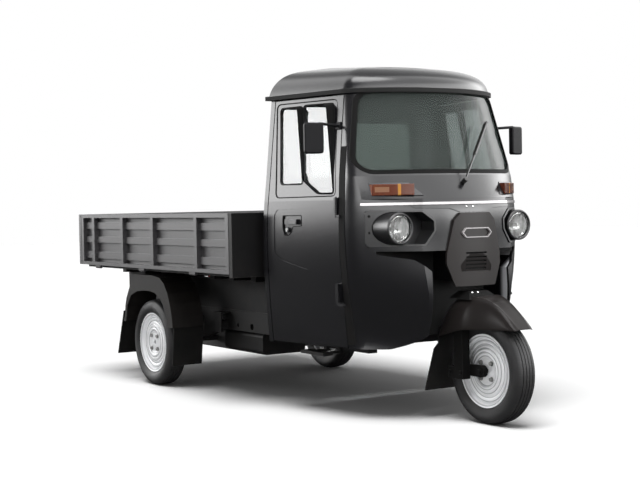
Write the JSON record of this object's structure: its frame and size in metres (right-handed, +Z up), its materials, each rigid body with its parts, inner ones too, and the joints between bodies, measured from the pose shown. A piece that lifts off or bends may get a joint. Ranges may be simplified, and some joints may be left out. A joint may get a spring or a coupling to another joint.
{
  "type": "cargo auto rickshaw",
  "caption": "Three-wheeled cargo auto rickshaw with a closed cab, hinged doors, steered front wheel and a drop-side tray behind.",
  "frame": {"origin": "on the ground under the middle of the vehicle's length and width", "axes": "+X forward, +Y to the vehicle's left, +Z up"},
  "size_m": [3.346, 1.49, 1.7286],
  "materials": {
    "body_paint": "deep charcoal gloss paint",
    "black_metal": "satin black paint",
    "black_plastic": "grained black plastic",
    "rubber": "black rubber",
    "tyre": "ribbed black tyre",
    "wheel_steel": "silver wheel paint",
    "glass": "lightly green glass",
    "seat_vinyl": "black vinyl",
    "chrome_trim": "bright strip",
    "amber": "amber lens",
    "red_lens": "red lens"
  },
  "bodies": {
    "root": {"battery_box": "black_plastic", "bright_trim": "chrome_trim", "cab_floor": "black_metal", "cab_glass": "glass", "cab_seals": "rubber", "chassis_rails": "black_metal", "cross_members": "black_metal", "dashboard": "black_plastic", "front_cowl": "body_paint", "fuel_tank": "black_metal", "headboard": "body_paint", "headlight_buckets": "black_plastic", "headlight_lenses": "glass", "lamp_housings": "black_plastic", "nose_panel": "body_paint", "plate_holder": "black_metal", "powertrain": "black_metal", "rear_arches": "black_plastic", "rear_flaps": "rubber", "rear_suspension": "black_metal", "rear_wall": "body_paint", "roof": "body_paint", "screen_frame": "body_paint", "seat_backrest": "seat_vinyl", "seat_base": "black_metal", "seat_cushion": "seat_vinyl", "tail_lamps": "red_lens", "tray_bed": "body_paint", "turn_signals": "amber", "wheel_recess": "black_metal", "wiper": "black_metal"},
    "steering": {"front_fork": "black_metal", "front_arm": "black_metal", "front_mudguard": "black_plastic", "front_flap": "rubber", "handlebar": "black_metal"},
    "front_wheel": {"front_rim": "wheel_steel", "front_tyre": "tyre"},
    "rear_wheel_right": {"rear_right_rim": "wheel_steel", "rear_right_tyre": "tyre"},
    "rear_wheel_left": {"rear_left_rim": "wheel_steel", "rear_left_tyre": "tyre"},
    "door_right": {"door_right": "body_paint", "door_right_glass": "glass", "door_right_mirror": "black_plastic"},
    "door_left": {"door_left": "body_paint", "door_left_glass": "glass", "door_left_mirror": "black_plastic"},
    "tray_side_right": {"tray_side_right": "body_paint"},
    "tray_side_left": {"tray_side_left": "body_paint"},
    "tailgate": {"tailgate": "body_paint"}
  },
  "joints": [
    {"name": "steering_turn", "type": "hinge", "parent": "root", "child": "steering", "pos_m": [1.28, 0, 0.65], "axis": [-0.3746, 0, 0.9272], "range_deg": [-40, 40]},
    {"name": "front_wheel_spin", "type": "hinge", "parent": "steering", "child": "front_wheel", "pos_m": [1.424, 0, 0.249], "axis": [0, 1, 0], "continuous": true},
    {"name": "rear_wheel_right_spin", "type": "hinge", "parent": "root", "child": "rear_wheel_right", "pos_m": [-0.85, -0.597, 0.249], "axis": [0, 1, 0], "continuous": true},
    {"name": "rear_wheel_left_spin", "type": "hinge", "parent": "root", "child": "rear_wheel_left", "pos_m": [-0.85, 0.597, 0.249], "axis": [0, 1, 0], "continuous": true},
    {"name": "door_right_hinge", "type": "hinge", "parent": "root", "child": "door_right", "pos_m": [0.932, -0.53, 0.8], "axis": [0, 0, 1], "range_deg": [0, 62]},
    {"name": "door_left_hinge", "type": "hinge", "parent": "root", "child": "door_left", "pos_m": [0.932, 0.53, 0.8], "axis": [0, 0, 1], "range_deg": [-62, 0]},
    {"name": "tray_side_right_hinge", "type": "hinge", "parent": "root", "child": "tray_side_right", "pos_m": [-0.85, -0.729, 0.676], "axis": [1, 0, 0], "range_deg": [0, 178]},
    {"name": "tray_side_left_hinge", "type": "hinge", "parent": "root", "child": "tray_side_left", "pos_m": [-0.85, 0.729, 0.676], "axis": [1, 0, 0], "range_deg": [-178, 0]},
    {"name": "tailgate_hinge", "type": "hinge", "parent": "root", "child": "tailgate", "pos_m": [-1.657, 0, 0.676], "axis": [0, 1, 0], "range_deg": [-178, 0]}
  ]
}
